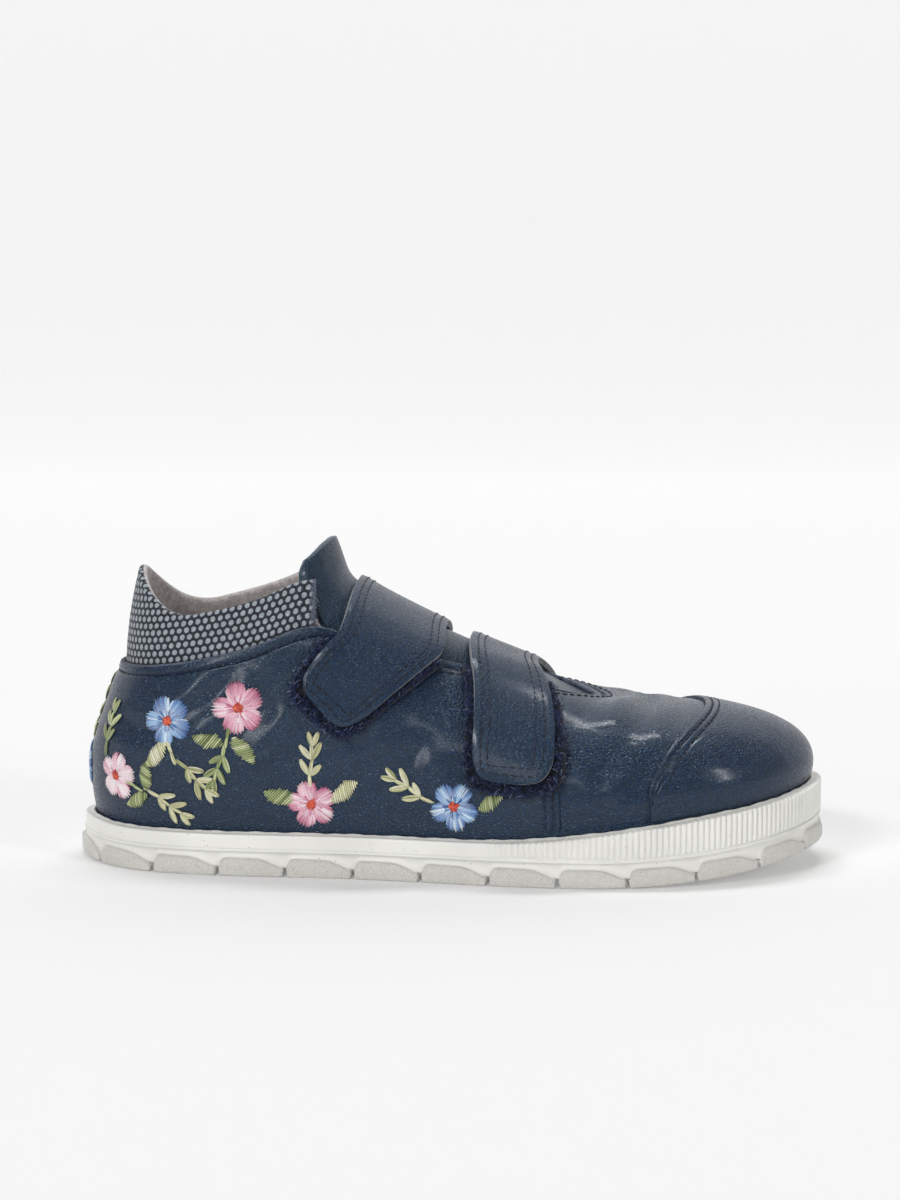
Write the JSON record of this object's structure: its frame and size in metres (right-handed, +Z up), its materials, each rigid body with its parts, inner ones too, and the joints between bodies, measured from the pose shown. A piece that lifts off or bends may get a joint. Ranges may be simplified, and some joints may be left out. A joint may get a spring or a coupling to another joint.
{
  "type": "high-top sneaker",
  "caption": "Child's right high-top sneaker: hollow leather upper with hook-and-loop straps, dotted textile cuff, tongue and a white rubber cup sole with ribbed toe bumper.",
  "frame": {"origin": "on the floor, under the middle of the shoe's bounding box", "axes": "+X to the toe, +Y to the inner side of the foot, +Z up"},
  "size_m": [0.1902, 0.0756, 0.0824],
  "materials": {
    "rubber": "matt off-white, stippled pads",
    "footbed": "plain pale fleece",
    "leather": "satin navy, fine grain, embroidered",
    "cap_leather": "satin navy, fine grain",
    "tongue_leather": "satin navy outside, pale lining inside",
    "dotted_textile": "dark textile with silver-grey dots",
    "strap_leather": "satin navy with grey cut edge",
    "pile": "curly loop pile"
  },
  "bodies": {
    "root": {"outsole": "rubber", "insole": "footbed", "upper": "leather", "toe_cap": "cap_leather", "tongue": "tongue_leather", "cuff": "dotted_textile", "strap_lower": "strap_leather", "strap_upper": "strap_leather", "loop_patch_lower": "pile", "loop_patch_upper": "pile"}
  },
  "joints": []
}
